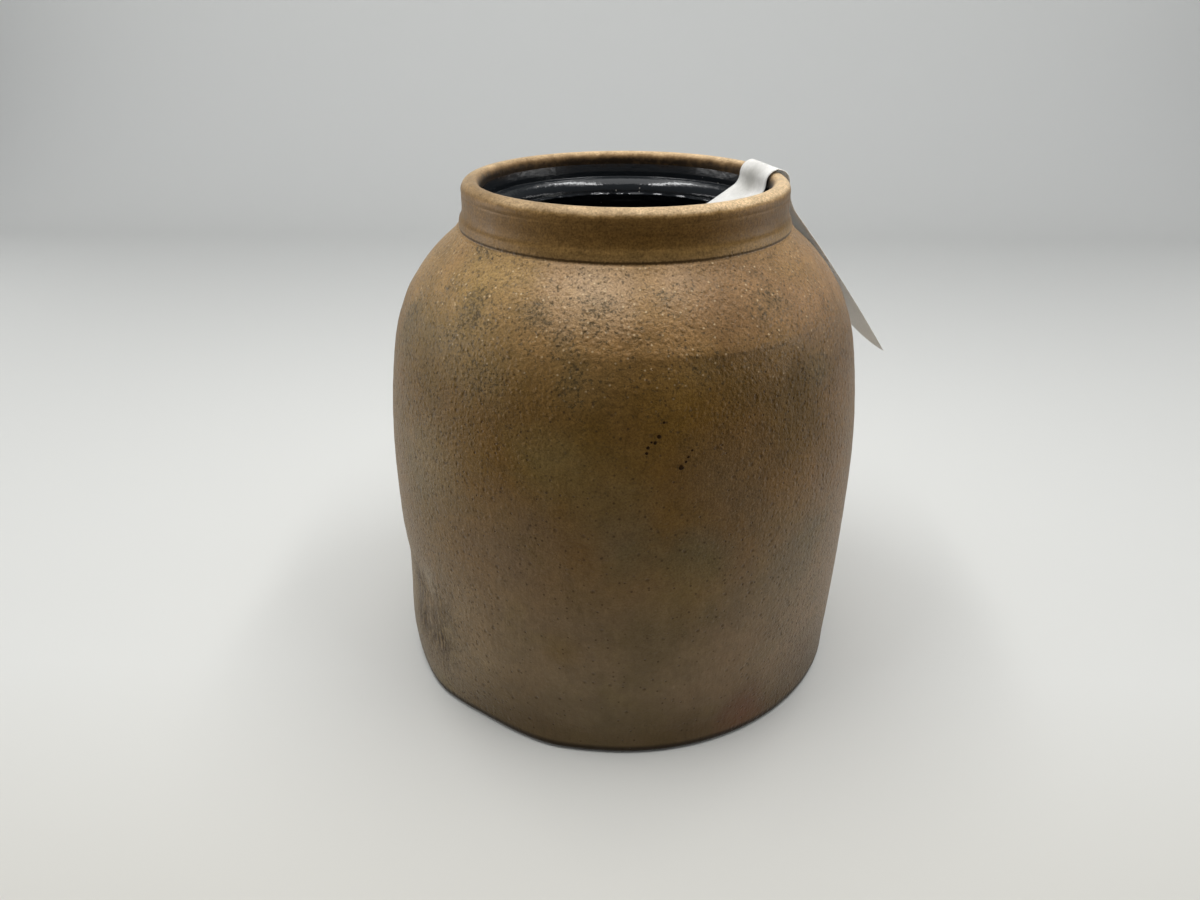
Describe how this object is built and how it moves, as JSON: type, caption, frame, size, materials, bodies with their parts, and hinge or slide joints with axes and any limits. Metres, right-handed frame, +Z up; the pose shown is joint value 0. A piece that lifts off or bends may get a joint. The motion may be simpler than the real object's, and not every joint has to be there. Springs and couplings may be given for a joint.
{
  "type": "stoneware crock",
  "caption": "Wheel-thrown stoneware storage crock with a rounded shoulder, short collar, salt-glazed outside, dark slip inside and a blank paper strip tag over its lip.",
  "frame": {"origin": "centre of the flat foot, on the wheel's axis, on the surface that the crock stands on", "axes": "+Z up along the wheel's axis, +X to the viewer's right in the picture's view, +Y away from the viewer"},
  "size_m": [0.2153, 0.1982, 0.207],
  "materials": {
    "salt_glazed_stoneware": "salt-glazed, satin, orange-peel grain with iron specks",
    "slip_glaze": "glossy near-black slip glaze",
    "tag_paper": "uncoated white paper"
  },
  "bodies": {
    "crock": {"stoneware_body": "salt_glazed_stoneware", "slip_lining": "slip_glaze", "tag_saddle": "tag_paper"},
    "flap": {"tag_flap": "tag_paper"},
    "tail": {"tag_tail": "tag_paper"}
  },
  "joints": [
    {"name": "flap_lift", "type": "hinge", "parent": "crock", "child": "flap", "pos_m": [0.06163, 0.01884, 0.2017], "axis": [0.2924, -0.9563, 0], "range_deg": [0, 110]},
    {"name": "tail_lift", "type": "hinge", "parent": "crock", "child": "tail", "pos_m": [0.05173, 0.01581, 0.2017], "axis": [-0.2924, 0.9563, 0], "range_deg": [0, 95]}
  ]
}
